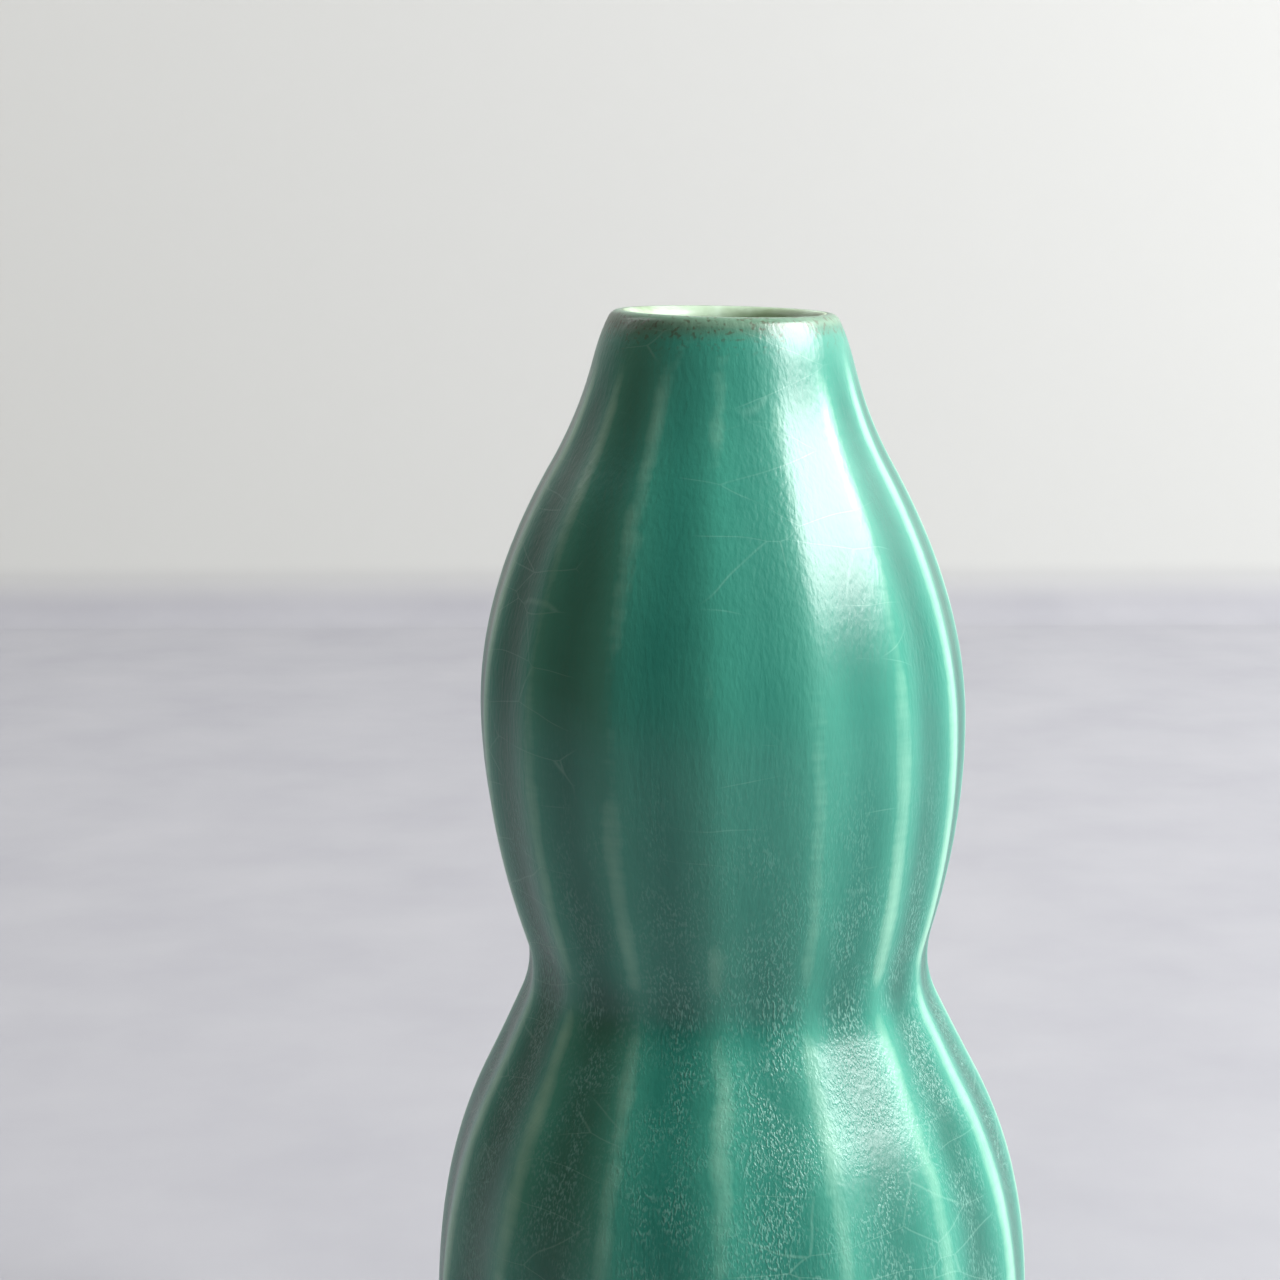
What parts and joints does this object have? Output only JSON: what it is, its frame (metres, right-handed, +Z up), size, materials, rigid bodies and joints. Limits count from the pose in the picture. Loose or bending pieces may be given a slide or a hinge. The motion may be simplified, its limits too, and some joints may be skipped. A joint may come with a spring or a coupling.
{
  "type": "bud vase",
  "caption": "Ribbed double-gourd ceramic bud vase with a narrow round-lipped mouth, a creased waist, pooled glaze over stoneware and a bare turned foot ring.",
  "frame": {"origin": "centre of the foot ring, on the surface the vase stands on", "axes": "+Z up along the axis of the vase towards its mouth; -Y is the side seen from the front"},
  "size_m": [0.0781, 0.0782, 0.174],
  "materials": {
    "bare_stoneware": "bare fired stoneware, matt and slightly sandy",
    "outer_glaze": "satin teal crystalline glaze, pale where it runs thin over the ribs",
    "liner_glaze": "thin satin pale green glaze",
    "base_glaze": "satin teal glaze wiped thin under the foot"
  },
  "bodies": {
    "root": {"clay_body": "bare_stoneware", "outer_glaze": "outer_glaze", "liner_glaze": "liner_glaze", "base_glaze": "base_glaze"}
  },
  "joints": []
}
